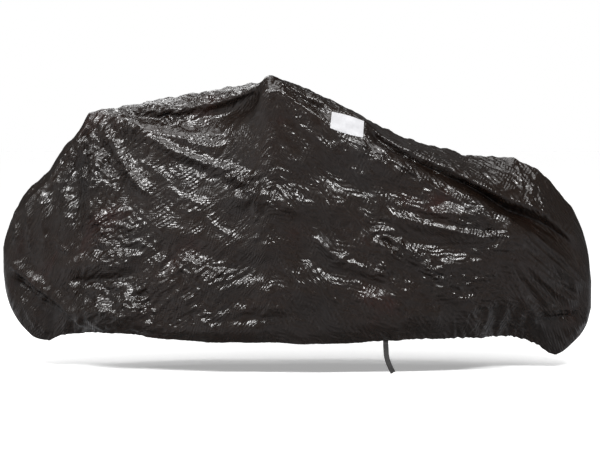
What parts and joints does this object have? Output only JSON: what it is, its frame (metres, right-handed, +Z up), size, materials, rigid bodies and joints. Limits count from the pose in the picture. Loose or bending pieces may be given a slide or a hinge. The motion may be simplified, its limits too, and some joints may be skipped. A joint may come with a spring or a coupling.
{
  "type": "bicycle cover",
  "caption": "Crinkled film cover, draped as over a long front-box bicycle: side panels sewn along the top, gathered hem open below, blank label patch and a hanging tie strap.",
  "frame": {"origin": "centre of the underside of the top at the handlebar peak, where the bicycle carries the cover, 1.128 m above the ground under the wheels", "axes": "+X along the cover towards the front wheel, +Y away from the side with the label, +Z up"},
  "size_m": [2.415, 0.601, 1.1897],
  "materials": {
    "film_near": "black-brown crinkled polyethylene film, semi-gloss with bright creases",
    "film_far": "black-brown crinkled polyethylene film, semi-gloss with bright creases",
    "label_cloth": "smooth white coated cloth, stitched border, bare centre",
    "webbing": "black flat woven webbing"
  },
  "bodies": {
    "root": {"near_panel": "film_near", "far_panel": "film_far", "label": "label_cloth", "tie_strap": "webbing"}
  },
  "joints": []
}
